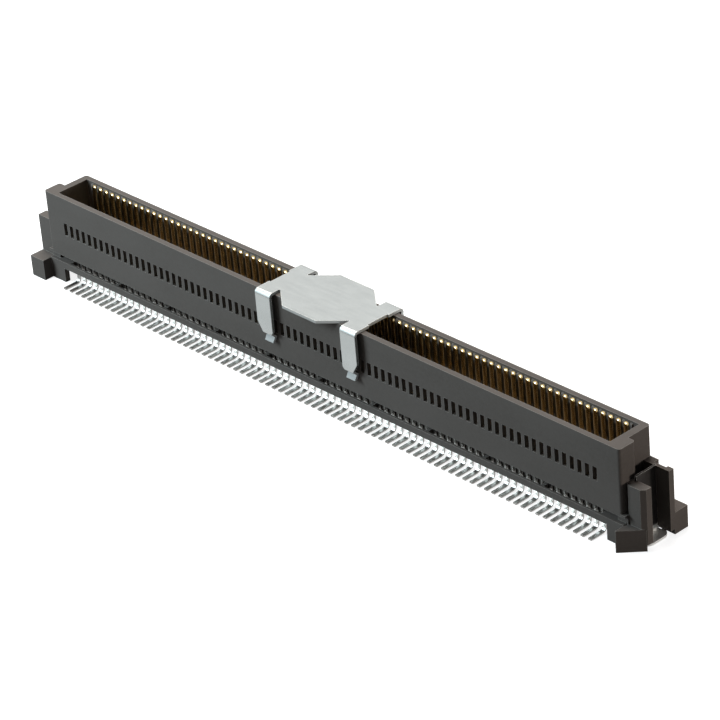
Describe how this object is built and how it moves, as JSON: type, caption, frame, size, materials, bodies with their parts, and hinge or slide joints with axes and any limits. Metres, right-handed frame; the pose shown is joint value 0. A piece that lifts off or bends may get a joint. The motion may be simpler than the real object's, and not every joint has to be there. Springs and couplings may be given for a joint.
{
  "type": "smd connector plug",
  "caption": "Long shrouded surface-mount board connector plug with two rows of contacts, a pick-up clip over its middle and a solder hold-down at each end.",
  "frame": {"origin": "on the board surface, under the middle of the housing", "axes": "+X along the contact rows towards the end with the cut foot, +Y to the back, +Z away from the board"},
  "size_m": [0.0722, 0.0066, 0.0088],
  "materials": {
    "housing_plastic": "fine matt moulded plastic, dark warm grey",
    "contact_metal": "gold plated blades and bright tinned leads",
    "clip_sheet": "satin rolled sheet, pale cool grey",
    "hold_down_sheet": "tinned sheet, satin"
  },
  "bodies": {
    "root": {"housing": "housing_plastic", "pick_up_clip": "clip_sheet", "hold_down_right": "hold_down_sheet", "hold_down_left": "hold_down_sheet", "front_contacts_01": "contact_metal", "front_contacts_02": "contact_metal", "front_contacts_03": "contact_metal", "front_contacts_04": "contact_metal", "front_contacts_05": "contact_metal", "front_contacts_06": "contact_metal", "front_contacts_07": "contact_metal", "front_contacts_08": "contact_metal", "front_contacts_09": "contact_metal", "front_contacts_10": "contact_metal", "back_contacts_01": "contact_metal", "back_contacts_02": "contact_metal", "back_contacts_03": "contact_metal", "back_contacts_04": "contact_metal", "back_contacts_05": "contact_metal", "back_contacts_06": "contact_metal", "back_contacts_07": "contact_metal", "back_contacts_08": "contact_metal", "back_contacts_09": "contact_metal", "back_contacts_10": "contact_metal"}
  },
  "joints": []
}
